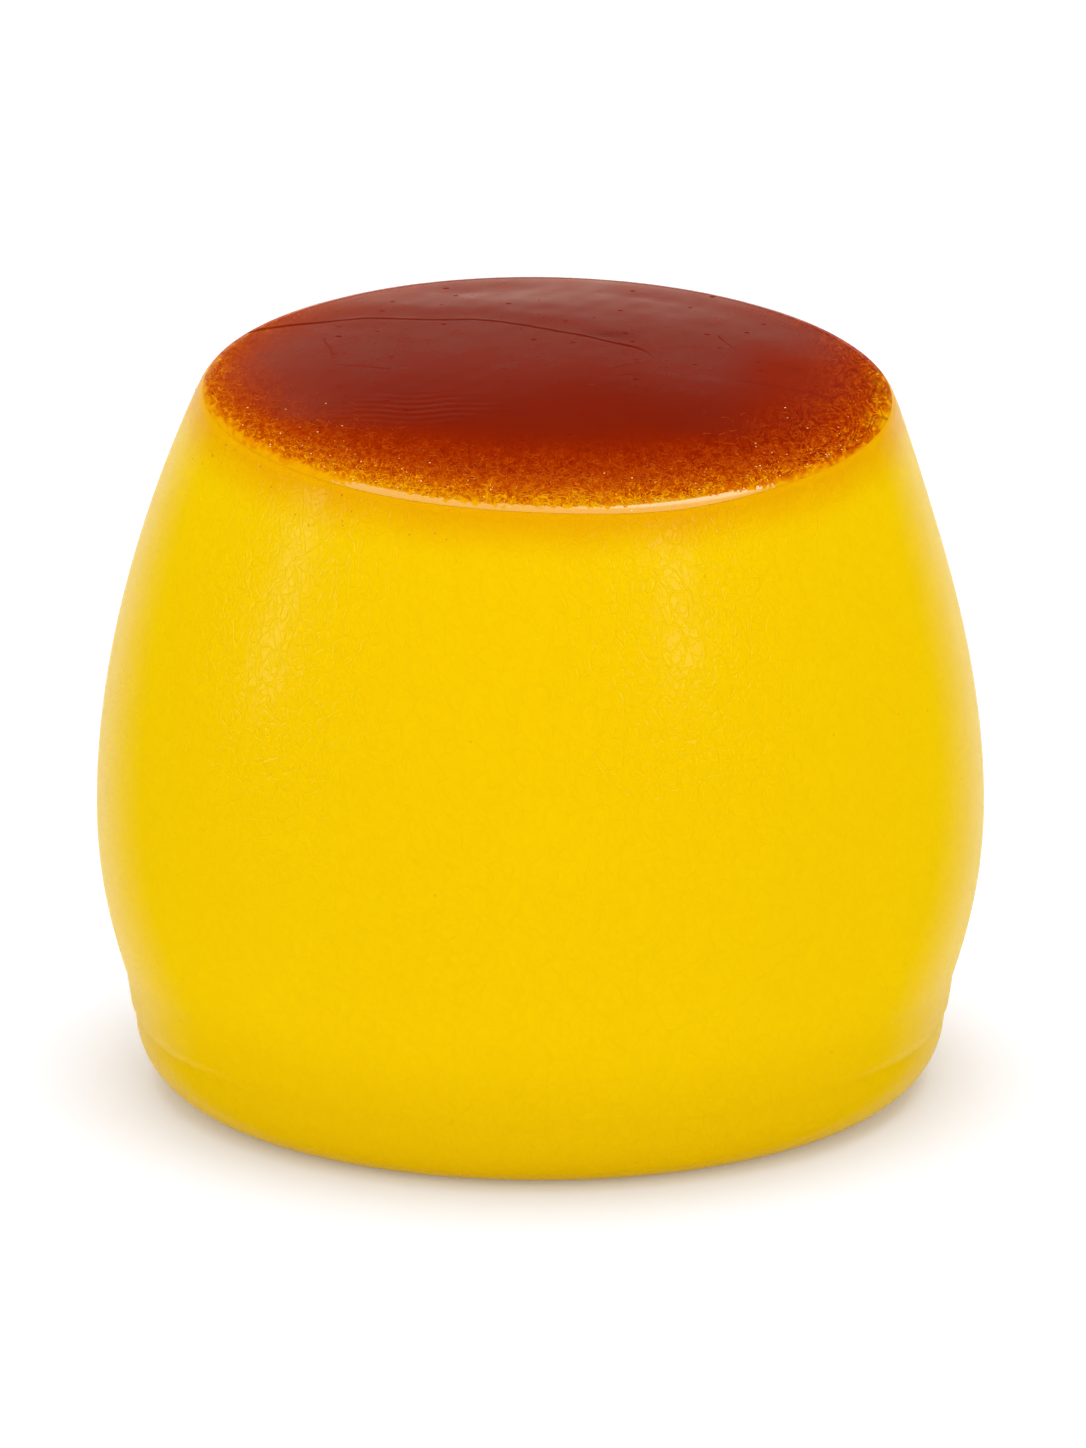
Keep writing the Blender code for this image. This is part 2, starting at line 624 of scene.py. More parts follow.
@dataclass(frozen=True)
class CaramelFinish(Finish):
    """Set caramel: dark red brown where thick, orange and thready towards its thin edge, with pits and marks.

    Its wet gloss is the coat, strong on the thick middle and the lip and weak on the thready edge; on the lip
    the colour is also painted paler as a highlight.

    Args:
        drawn_out: factor of the threads' patterns along Y; below 1 draws them out towards the viewer.
        dark: colour in the marks, which also paints shade in the crease.
        dimple_shade: dark colour painted in the dimple as the shade of the dent.
        olive: colour of the curled threads at the right edge.
        fine: the finest threads.
        patchiness: how much thinner the caramel looks on the fine threads, patch by patch.
        curl: the longer pale threads.
        gap: the dark lines between them.
        loop: the wide dark loops.
        grain_tone: how much the grain changes the caramel's tone.
        grain_height: how far the grain stands up.
        swirl_tone: how much the swirled ripples change its tone.
        swirl_height: how far they stand up.
        swirl_turns: how closely they follow one another, in radians over the noise's range.
        blotch_scale: blotches per metre.
        bend_scale: cells per metre of the soft noise that bends the marks.
        grain_scale: grains per metre.
        lip_highlight_fade: where the wet lip's band starts and where it is full, in millimetres inside it;
            there the colour is painted paler as a highlight and the coat is strong.
        edge_fade: where the caramel starts and where it is full, in millimetres inside its edge.
        mark_tone: how strongly the marks darken the colour.
        crease_shade_tone: how much more painted shade the crease gets.
        dimple_tone: how strongly the dimple's painted shade shows.
        olive_tone: how strongly the curled threads show.
        relief_height: height of the threads' relief where they are full.
        scratches: the scratches.
        scratch_tone: how strongly they show beside the pits.
        pits: the large and the small pits.
        pitted: the caramel's thickness, as a share, where the pits start, and where they are full.
    """

    name: str = "caramel_glaze"
    roughness: float = 0.40
    specular: float = 0.0
    coat_roughness: float = 0.13
    drawn_out: float = 0.38
    dark: Colour = (0.100, 0.0030, 0.0002)
    dimple_shade: Colour = (0.130, 0.0035, 0.0002)
    olive: Colour = (0.330, 0.120, 0.0010)
    fine: Strand = Strand(1900.0, 0.050, -0.14, 0.6)
    patchiness: float = 0.30
    curl: Strand = Strand(1050.0, 0.032, -0.32, 0.6)
    gap: Strand = Strand(1350.0, 0.045, 0.21, -0.4)
    loop: Strand = Strand(620.0, 0.030, 0.26)
    grain_tone: float = 0.85
    grain_height: float = 0.7
    swirl_tone: float = 0.12
    swirl_height: float = 0.2
    swirl_turns: float = 85.0
    blotch_scale: float = 300.0
    bend_scale: float = 350.0
    grain_scale: float = 2300.0
    lip_highlight_fade: Fade = (-0.12, 0.16)
    edge_fade: Fade = (-0.60, 0.70)
    mark_tone: float = 0.45
    crease_shade_tone: float = 0.15
    dimple_tone: float = 0.60
    olive_tone: float = 0.55
    relief_height: float = 0.040 * MM
    scratches: tuple[Scratch, ...] = (
        Scratch((5.2, 2.2), (6.9, 3.3)),
        Scratch((5.3, 0.4), (7.8, 1.5)),
        Scratch((2.4, -1.3), (4.5, -2.2)),
        Scratch((5.4, -2.4), (6.6, -3.5)),
        Scratch((6.4, -3.4), (8.4, -3.5), 0.10),
        Scratch((14.3, 0.7), (17.2, 0.2), 0.18),
        Scratch((16.9, 0.3), (20.7, -1.2), 0.12),
        Scratch((16.8, 5.4), (19.6, 3.4), 0.10),
        Scratch((13.2, 10.8), (14.8, 7.1), 0.12),
        Scratch((-15.6, 3.0), (-10.7, 1.8), 0.16),
        Scratch((-16.0, 9.1), (-15.2, 4.2), 0.10),
    )
    scratch_tone: float = 0.75
    pits: tuple[Pits, Pits] = (Pits(300.0, 0.058, 0.15), Pits(560.0, 0.070, 0.70, 0.8))
    pitted: Fade = (0.55, 0.85)

    def crease(self, desk: NodeDesk, bend: Wire) -> Wire:
        """1 along the crease's wandering line and 0 away from it."""
        gap = abs(desk.attribute("crease_gap") + bend * 0.35)
        return gap.step(0.42, 0.12) * desk.attribute("crease_reach")

    def marks(self, desk: NodeDesk, place: Wire, bend: Wire) -> Wire:
        """Pits, where the caramel is thick, and scratches.

        Args:
            desk: the material's tree.
            place: Object coordinates.
            bend: soft noise around 0 that bends the scratches.

        Returns:
            1 in a mark and 0 outside.
        """
        east, north, _ = desk.parts(place)
        east, north = east / MM + bend * 0.5, north / MM + bend * 0.9
        marks = self.pits[0].mask(desk).most(self.pits[1].mask(desk))
        marks = marks * desk.attribute("shade").step(*self.pitted)
        for scratch in self.scratches:
            marks = marks.most(scratch.mask(east, north) * self.scratch_tone)
        return marks

    def surface(self, desk: NodeDesk) -> dict[str | int, Any]:
        """Colour from the caramel's thickness, broken by threads and marks; gloss where it is wet."""
        place = desk.place()
        strand = desk.place((1.0, self.drawn_out, 1.0))
        inward, shade, curled = (desk.attribute(key) for key in ("inward", "shade", "curled"))
        east = desk.parts(place)[0] / MM
        blotch = desk.noise(place, self.blotch_scale, 4.0) - 0.5
        bend = desk.noise(place, self.bend_scale) - 0.5
        grain = desk.noise(strand, self.grain_scale) - 0.5

        worn = desk.attribute("frayed") * shade.step(1.02, 0.82) * inward.step(-0.3, 0.9)
        fine, curls, gaps = (kind.mask(desk, strand) for kind in (self.fine, self.curl, self.gap))
        loops = self.loop.mask(desk, strand) * (curled + east.step(4.0, 13.0) * 0.6)
        swirling = curled * 0.6 + east.step(12.0, 18.0) + 0.30
        swirl = (desk.noise(strand, 340.0, 1.0, 1.0) * self.swirl_turns).sine() * swirling
        thinned = fine * ((blotch + 0.5).step(0.40, 0.60) * self.patchiness - self.fine.tone)
        weave = gaps * self.gap.tone + loops * self.loop.tone + curls * self.curl.tone - thinned
        weave = weave + grain * self.grain_tone + swirl * self.swirl_tone

        # painted highlight: on the wet lip band the colour is lightened towards yellow where the lights'
        # reflection lies; the coat gloss there is real
        lip_highlight = (desk.attribute("band") + grain * 2.3 + blotch * 0.9).step(*self.lip_highlight_fade)
        level = (shade + blotch * (0.06 + worn * 0.30) + weave * worn) * (1.0 - lip_highlight * 0.85)
        edge = (inward + grain * 2.2 + blotch * 1.6).step(*self.edge_fade)
        colour = desk.ramp(level * edge, CARAMEL_STOPS)
        colour = desk.mix(curled * (loops + gaps * 0.6) * self.olive_tone, colour, self.olive)
        crease, dimple = self.crease(desk, bend), desk.attribute("dimple")
        marks = self.marks(desk, place, bend).most(crease)
        # painted shade: the crease is darkened towards the dark colour more than the other marks
        colour = desk.mix(marks * self.mark_tone + crease * self.crease_shade_tone, colour, self.dark)
        # painted shade: the dimple's colour is darkened as the shade of the dent
        colour = desk.mix(dimple * self.dimple_tone, colour, self.dimple_shade)

        relief = fine * self.fine.height + curls * self.curl.height + gaps * self.gap.height
        relief = (relief + grain * self.grain_height + swirl * self.swirl_height) * worn**3
        wet = desk.attribute("wet") * (1.0 + bend * 0.7)
        sheen = wet * (1.0 - marks * 0.95) * (1.0 - dimple * 0.35)
        return {
            "Base Color": colour,
            "Roughness": self.roughness + blotch * 0.10,
            "Normal": desk.bump(relief, self.relief_height, 0.8),
            "Coat Weight": sheen.most(lip_highlight * 0.85),
            "Coat Roughness": self.coat_roughness,
            "Coat IOR": self.coat_ior,
        }


@dataclass(frozen=True)
class ThreadFinish(Finish):
    """Fine fibres in the caramel's thin edge, a little lighter than the caramel that they lie in.

    Args:
        lift: how much thinner than the caramel round it a fibre looks.
    """

    name: str = "caramel_thread"
    roughness: float = 0.30
    specular: float = 0.015
    lift: float = 0.30

    def surface(self, desk: NodeDesk) -> dict[str | int, Any]:
        """Colour of thinner caramel, changed from fibre to fibre."""
        change = desk.noise(desk.place(), 900.0, 1.0) - 0.5
        level = desk.attribute("shade") - self.lift + change * 0.5
        return {"Base Color": desk.ramp(level, CARAMEL_STOPS)}


@dataclass(frozen=True)
class SpeckFinish(Finish):
    """A small grain's finish, with a little change of colour from grain to grain.

    Args:
        light: colour of the lightest grains.
        deep: colour of the deepest grains.
    """

    light: Colour = WHITE
    deep: Colour = WHITE

    def surface(self, desk: NodeDesk) -> dict[str | int, Any]:
        """Colour from a coarse noise that changes between grains."""
        blend = desk.noise(desk.place(), 700.0, 2.0).step(0.35, 0.65)
        return {"Base Color": desk.mix(blend, self.light, self.deep)}


class GeometryDesk(NodeDesk):
    """A geometry tree with named inputs, run once on an object and baked to a plain mesh."""

    def __init__(self, name: str, sizes: dict[str, float | int]) -> None:
        """Makes the tree and its group sockets.

        Args:
            name: the tree's name.
            sizes: named inputs with their values; an int makes a whole-number socket.
        """
        tree = bpy.data.node_groups.new(name, "GeometryNodeTree")
        super().__init__(tree)
        tree.interface.new_socket(name="Geometry", in_out="INPUT", socket_type="NodeSocketGeometry")
        tree.interface.new_socket(name="Geometry", in_out="OUTPUT", socket_type="NodeSocketGeometry")
        self.values: dict[str, float | int] = {}
        for label, value in sizes.items():
            kind = "NodeSocketInt" if isinstance(value, int) else "NodeSocketFloat"
            made = tree.interface.new_socket(name=label, in_out="INPUT", socket_type=kind)
            self.values[made.identifier] = value
        self.group = tree.nodes.new("NodeGroupInput")

    def given(self, label: str) -> Wire:
        """A group input by name."""
        return Wire(self, self.group.outputs[label])

    def deliver(self, geometry: Wire, material: bpy.types.Material) -> None:
        """Ends the tree in Realize Instances and Set Material.

        Args:
            geometry: what the tree has made.
            material: the finish that all of it takes.
        """
        real = self.node("GeometryNodeRealizeInstances", {}, {0: geometry})
        dressed = self.node("GeometryNodeSetMaterial", {}, {"Geometry": real, "Material": material})
        self.node("NodeGroupOutput", {}, {0: dressed})

    def bake(self, source: bpy.types.Object, name: str) -> bpy.types.Object:
        """Runs the tree on an object and keeps the result as a plain mesh object.

        Args:
            source: the object whose geometry goes in.
            name: name of the new object.

        Returns:
            The new object, at the origin.
        """
        modifier = source.modifiers.new(name, "NODES")
        modifier.node_group = self.tree
        for identifier, value in self.values.items():
            modifier[identifier] = value
        graph = bpy.context.evaluated_depsgraph_get()
        mesh = bpy.data.meshes.new_from_object(source.evaluated_get(graph), depsgraph=graph)
        source.modifiers.remove(modifier)
        mesh.name = name
        made = bpy.data.objects.new(name, mesh)
        bpy.context.scene.collection.objects.link(made)
        return made


def arc(
    centre: tuple[float, float], reach: float, rise: float, start: float, end: float, count: int
) -> np.ndarray:
    """Points of an ellipse's arc in the plane of radius and height.

    Args:
        centre: radius and height of the ellipse's middle.
        reach: half its width.
        rise: half its height.
        start: first angle from the outward direction, in degrees.
        end: last angle.
        count: number of steps.

    Returns:
        An array of (radius, height).
    """
    turns = np.radians(np.linspace(start, end, count + 1))
    return np.column_stack([centre[0] + reach * np.cos(turns), centre[1] + rise * np.sin(turns)])


def smooth(value: np.ndarray, low: float, high: float) -> np.ndarray:
    """Rises smoothly from 0 at low to 1 at high.

    Args:
        value: the numbers to map.
        low: where the result is 0.
        high: where the result is 1.

    Returns:
        The mapped numbers, between 0 and 1.
    """
    part = np.clip((value - low) / (high - low), 0.0, 1.0)
    return part * part * (3.0 - 2.0 * part)


def waves(x: np.ndarray, y: np.ndarray, length: float, seed: int) -> np.ndarray:
    """Soft irregular waves on a plane, from a few crossing sines.

    Args:
        x: places along the first axis.
        y: places along the second.
        length: the mean wave length, in the places' own unit.
        seed: seed of the draw.

    Returns:
        Heights of about -1 to 1.
    """
    draw = np.random.default_rng(seed)
    count = 7
    turns, stretches = draw.uniform(0, math.pi, count), draw.uniform(0.7, 1.4, count)
    total = np.zeros_like(x)
    for turn, stretch, phase in zip(turns, stretches, draw.uniform(0, 6.3, count)):
        along = x * math.cos(turn) + y * math.sin(turn)
        total += np.sin(along * 2 * math.pi / (length * stretch) + phase)
    return total / 3.0


@dataclass(frozen=True)
class Settling:
    """How the soft pudding has sunk: the top leans forward and sideways, and the rim slumps at one place.

    Args:
        height: height at which the lean is full.
        tilt_back: rise of the top for each metre to the back.
        tilt_side: rise of the top for each metre to the right.
        lean_side: how far the top has moved to the right.
        slump: how far the rim has sunk at the front right.
        slump_around: direction of that place, in degrees round from the right.
        slump_spread: how wide it is, in degrees.
        slump_inside: radius where the slump starts.
        slump_outside: radius where it is full.
        slump_above: height where it starts.
    """

    height: float = 51.5 * MM
    tilt_back: float = 0.080
    tilt_side: float = -0.0165
    lean_side: float = 0.5 * MM
    slump: float = 0.30 * MM
    slump_around: float = 291.0
    slump_spread: float = 16.0
    slump_inside: float = 22.6 * MM
    slump_outside: float = 25.3 * MM
    slump_above: float = 47.0 * MM

    def rise(self, x: np.ndarray, y: np.ndarray, z: np.ndarray) -> np.ndarray:
        """How far the lean lifts a point."""
        return (self.tilt_side * x + self.tilt_back * y) * (z / self.height) ** 2

    def apply(self, points: np.ndarray) -> np.ndarray:
        """Moves turned points to where they have settled.

        Args:
            points: an array of x, y and z.

        Returns:
            The moved points.
        """
        x, y, z = points.T
        moved = points.copy()
        away = (np.degrees(np.arctan2(y, x)) - self.slump_around + 180) % 360 - 180
        weight = np.exp(-((away / self.slump_spread) ** 2)) * smooth(z, self.slump_above, self.height)
        fall = self.slump * weight * smooth(np.hypot(x, y), self.slump_inside, self.slump_outside)
        moved[:, 0] = x + self.lean_side * (z / self.height) ** 6
        moved[:, 2] = z + self.rise(x, y, z) - fall
        return moved


@dataclass(frozen=True)
class Shoulder:
    """The rounding between the top and the side, which the caramel's lip and the custard share.

    Args:
        inner: radius where the rounding starts.
        top: its height there.
        reach: how far out it goes.
        drop: how far down it goes.
    """

    inner: float = 24.3 * MM
    top: float = 52.6 * MM
    reach: float = 1.5 * MM
    drop: float = 1.35 * MM

    def bend(self, start: float, end: float, count: int, inset: float = 0.0) -> np.ndarray:
        """Part of the rounding.

        Args:
            start: first angle from the outward direction, in degrees.
            end: last angle.
            count: number of steps.
            inset: how far it lies inside the full rounding.

        Returns:
            An array of (radius, height).
        """
        centre = (self.inner, self.top - self.drop)
        return arc(centre, self.reach - inset, self.drop - inset, start, end, count)


@dataclass
class TurnedPiece:
    """A closed body turned about Z from a profile by a geometry tree, then shaped and settled.

    Args:
        name: the piece's name.
        node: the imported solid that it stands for.
        finish: its finish.
        turn_steps: divisions round the axis.
        settling: how it has sunk.
        merge_distance: how close points are joined.
        sharp_angle: the least angle of an edge that isn't shaded smooth, in degrees.
    """

    name: str
    node: Node
    finish: Finish
    turn_steps: int = 420
    settling: Settling = field(default_factory=Settling)
    merge_distance: float = 0.003 * MM
    sharp_angle: float = 40.0

    def profile(self) -> np.ndarray:
        """The profile from the top of the axis, outside and down, to the bottom of the axis."""
        raise NotImplementedError

    def shape(self, points: np.ndarray) -> tuple[np.ndarray, dict[str, np.ndarray]]:
        """Adds unevenness to the turned points and works out the attributes that the finish reads.

        Args:
            points: the turned points.

        Returns:
            The shaped points, and a value for each point under each attribute's name.
        """
        raise NotImplementedError

    def turn(self) -> bpy.types.Object:
        """Turns the profile with a geometry tree: a grid whose rows follow it and whose columns go round.

        Returns:
            The turned body.
        """
        outline = bpy.data.meshes.new(self.name + "_profile")
        points = [(float(radius), 0.0, float(height)) for radius, height in self.profile()]
        outline.from_pydata(points, [(i, i + 1) for i in range(len(points) - 1)], [])
        guide = bpy.data.objects.new(self.name + "_profile", outline)
        bpy.context.scene.collection.objects.link(guide)
        counts = {"Turn Steps": self.turn_steps, "Profile Points": len(points)}
        sizes = {**counts, "Merge Distance": self.merge_distance}
        desk = GeometryDesk(self.name + "_lathe", sizes)
        rows = {"Vertices X": desk.given("Turn Steps"), "Vertices Y": desk.given("Profile Points")}
        flat = desk.node("GeometryNodeMeshGrid", {}, {"Size X": 1.0, "Size Y": 1.0, **rows})
        across, along, _ = desk.parts(desk.node("GeometryNodeInputPosition"))
        row = (0.5 - along) * (desk.given("Profile Points") - 1)
        whole = desk.node("FunctionNodeFloatToInt", {"rounding_mode": "ROUND"}, {0: row})
        source = {"Geometry": desk.given("Geometry"), "Value": desk.node("GeometryNodeInputPosition")}
        kind = {"data_type": "FLOAT_VECTOR", "domain": "POINT"}
        at = desk.node("GeometryNodeSampleIndex", kind, {**source, "Index": whole}, "Value")
        radius, _, height = desk.parts(at)
        turn = (across + 0.5) * (2.0 * math.pi)
        parts = {0: radius * turn.cosine(), 1: radius * turn.sine(), 2: height}
        round_place = desk.node("ShaderNodeCombineXYZ", {}, parts)
        bent = desk.node("GeometryNodeSetPosition", {}, {"Geometry": flat, "Position": round_place})
        joined = {"Geometry": bent, "Distance": desk.given("Merge Distance")}
        closed = desk.node("GeometryNodeMergeByDistance", {}, joined)
        desk.deliver(closed, self.finish.make())
        body = desk.bake(guide, self.name)
        bpy.data.objects.remove(guide)
        return body

    def build(self) -> bpy.types.Object:
        """Turns, shapes and settles the piece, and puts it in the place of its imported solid.

        Returns:
            The finished piece.
        """
        body = self.turn()
        mesh = body.data
        points = np.zeros(len(mesh.vertices) * 3)
        mesh.vertices.foreach_get("co", points)
        shaped, values = self.shape(points.reshape(-1, 3))
        mesh.vertices.foreach_set("co", self.settling.apply(shaped).ravel())
        for key, value in values.items():
            mesh.attributes.new(key, "FLOAT", "POINT").data.foreach_set("value", value.astype(np.float32))
        mesh.update()
        mesh.shade_smooth()
        mesh.set_sharp_from_angle(angle=math.radians(self.sharp_angle))
        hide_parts(self.node.value)
        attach(body, "root")
        return body


@dataclass
class Custard(TurnedPiece):
    """The barrel of custard: a rounded foot, a low collar, the sagging side and a shoulder under the caramel.

    Args:
        foot_radius: radius of the flat foot.
        collar_radius: radius of the collar where the foot's rounding ends.
        foot_rise: height of that rounding.
        notch_radius: radius of the soft notch above the collar.
        notch_height: its height.
        notch_blend: how far it blends down and up.
        barrel_radius: the widest radius.
        barrel_height: its height.
        shoulder_radius: radius of the side at the shoulder.
        shoulder_height: the shoulder's height.
        side_fullness: how early the side narrows above the barrel; 1 is a plain parabola.
        shoulder: the rounding that it shares with the caramel.
        shoulder_turn: first and last angle of its own part of that rounding, in degrees.
        under_lip: how far its shoulder lies inside the caramel's lip.
        seat: drop of the hidden seat below the shoulder in the middle, and at its edge.
        seat_edge: how far the seat's edge lies inside the shoulder.
        unevenness: share of the radius by which the side swells and sinks.
        spatter_side: direction of the specks, in degrees round from the right.
    """

    name: str = "custard_body"
    node: Node = Node.CUSTARD
    finish: Finish = field(default_factory=CustardFinish)
    foot_radius: float = 25.4 * MM
    collar_radius: float = 30.1 * MM
    foot_rise: float = 5.2 * MM
    notch_radius: float = 30.6 * MM
    notch_height: float = 7.9 * MM
    notch_blend: float = 1.2 * MM
    barrel_radius: float = 32.93 * MM
    barrel_height: float = 20.8 * MM
    shoulder_radius: float = 25.90 * MM
    shoulder_height: float = 51.30 * MM
    side_fullness: float = 1.25
    shoulder: Shoulder = field(default_factory=Shoulder)
    shoulder_turn: tuple[float, float] = (66.0, 20.0)
    under_lip: float = 0.02 * MM
    seat: tuple[float, float] = (2.0 * MM, 0.8 * MM)
    seat_edge: float = 0.9 * MM
    unevenness: float = 0.0011
    spatter_side: float = 215.0

    def side_radius(self, height: np.ndarray) -> np.ndarray:
        """Radius of the side above the notch, widest where the barrel sags.

        Args:
            height: heights above the foot.

        Returns:
            The radius at each height.
        """
        above = np.clip((height - self.barrel_height) / (self.shoulder_height - self.barrel_height), 0, None)
        below = np.clip((self.barrel_height - height) / (self.barrel_height - self.notch_height), 0, None)
        narrowing = above**2 * (self.side_fullness + (1 - self.side_fullness) * above)
        upper = (self.barrel_radius - self.shoulder_radius) * narrowing
        return self.barrel_radius - upper - (self.barrel_radius - self.notch_radius) * below**2

    def profile(self) -> np.ndarray:
        """Seat, shoulder, side, collar and foot, from the top of the axis to its bottom."""
        shoulder = self.shoulder.bend(*self.shoulder_turn, 24, inset=self.under_lip)
        edge, top = shoulder[0]
        seat = np.array([[0.0, top - self.seat[0]], [edge - self.seat_edge, top - self.seat[1]]])
        heights = np.linspace(shoulder[-1, 1] - 0.8 * MM, self.notch_height + self.notch_blend * 0.5, 90)
        side = np.column_stack([self.side_radius(heights), heights])
        low = self.notch_height - self.notch_blend
        down = np.linspace(0.35, 1.0, 10)
        inwards = down**2 * (3 - 2 * down)
        narrowing = (self.collar_radius - self.notch_radius) * inwards
        collar = np.column_stack([self.notch_radius + narrowing, low + (self.foot_rise - low) * down])
        reach = self.collar_radius - self.foot_radius
        foot = arc((self.foot_radius, self.foot_rise), reach, self.foot_rise, 0, -90, 26)
        return np.vstack([seat, shoulder, side, collar, foot[1:], [[0.0, 0.0]]])

    def shape(self, points: np.ndarray) -> tuple[np.ndarray, dict[str, np.ndarray]]:
        """Gives the side its faint hollows and bulges, inside the solid's outline.

        Args:
            points: the turned points.

        Returns:
            The shaped points, and how far each lies below the rim, in millimetres.
        """
        x, y, z = points.T
        around = np.arctan2(y, x)
        share = z / self.shoulder_height
        wave = np.sin(3 * around + 0.7) * np.sin(share * 5.1 + 0.4)
        wave = wave + 0.7 * np.sin(5 * around - 1.1) * np.sin(share * 8.3)
        free = smooth(z, 1.0 * MM, 12.0 * MM) * smooth(z, self.shoulder_height, self.shoulder_height - 9 * MM)
        factor = 1 + (wave - 1.7) * self.unevenness * free
        shaped = points * np.column_stack([factor, factor, np.ones_like(factor)])
        below = (self.shoulder.top - z) / MM
        left = smooth(np.cos(around - math.radians(self.spatter_side)), 0.45, 1.0)
        spatter = left * smooth(below, 5.0, 1.2) * smooth(below, 0.3, 0.8)
        return shaped, {"below_rim": below, "spatter": spatter}


@dataclass(frozen=True)
class EdgeStation:
    """How the caramel thins out at one place round its edge.

    Args:
        around: degrees round from the right, anticlockwise from above; 270 is the front.
        inset: how far inside the lip's end the caramel stops, in millimetres.
        first: its thickness at once inside, as a share of the full thickness.
        reach: millimetres inwards over which it thickens.
        fray: millimetres inwards over which its threads fade.
        band: width of the wet lip there, whose colour is painted paler as a highlight, in millimetres; below
            0 where there is none.
    """

    around: float
    inset: float
    first: float
    reach: float
    fray: float
    band: float = -1.0


EDGE: tuple[EdgeStation, ...] = (
    EdgeStation(0, 0.0, 0.57, 4.7, 4.5),
    EdgeStation(20, 0.0, 0.66, 4.4, 3.0),
    EdgeStation(35, 0.0, 0.78, 3.4, 1.5),
    EdgeStation(65, 0.0, 0.84, 5.0, 1.0),
    EdgeStation(110, 0.0, 0.82, 5.0, 1.0),
    EdgeStation(140, 0.0, 0.48, 3.4, 1.2),
    EdgeStation(158, 0.0, 0.42, 3.6, 1.8),
    EdgeStation(180, 0.0, 0.25, 3.6, 3.0),
    EdgeStation(194, 0.4, 0.30, 3.8, 3.5),
    EdgeStation(210, 0.6, 0.26, 4.6, 5.0),
    EdgeStation(222, 0.7, 0.20, 4.5, 7.0),
    EdgeStation(230, 0.4, 0.06, 4.5, 9.0, -0.4),
    EdgeStation(240, 0.25, 0.05, 5.0, 11.0, 0.60),
    EdgeStation(253, 0.2, 0.05, 5.2, 12.0, 0.45),
    EdgeStation(272, 0.2, 0.05, 5.5, 12.0, 0.50),
    EdgeStation(284, 0.15, 0.06, 5.3, 12.0, 0.85),
    EdgeStation(290, 0.15, 0.08, 5.1, 12.0, 1.05),
    EdgeStation(297, 0.2, 0.12, 4.9, 12.0, 0.85),
    EdgeStation(305, 0.45, 0.22, 4.6, 11.0, 0.15),
    EdgeStation(312, 0.62, 0.30, 4.3, 10.0, -0.9),
    EdgeStation(320, 0.26, 0.30, 3.8, 9.0),
    EdgeStation(338, -0.1, 0.38, 4.3, 8.0),
    EdgeStation(350, 0.3, 0.49, 4.6, 6.0),
    EdgeStation(360, 0.0, 0.57, 4.7, 4.5),
)


@dataclass(frozen=True)
class Patch:
    """A soft oval patch on the caramel.

    Args:
        middle: its place to the right and to the back of the middle of the top.
        spread: how far it spreads along each.
    """

    middle: tuple[float, float]
    spread: tuple[float, float]

    def share(self, x: np.ndarray, y: np.ndarray) -> np.ndarray:
        """1 in the middle of the patch, fading out round it."""
        east, north = (x - self.middle[0]) / self.spread[0], (y - self.middle[1]) / self.spread[1]
        return np.exp(-(east**2) - north**2)


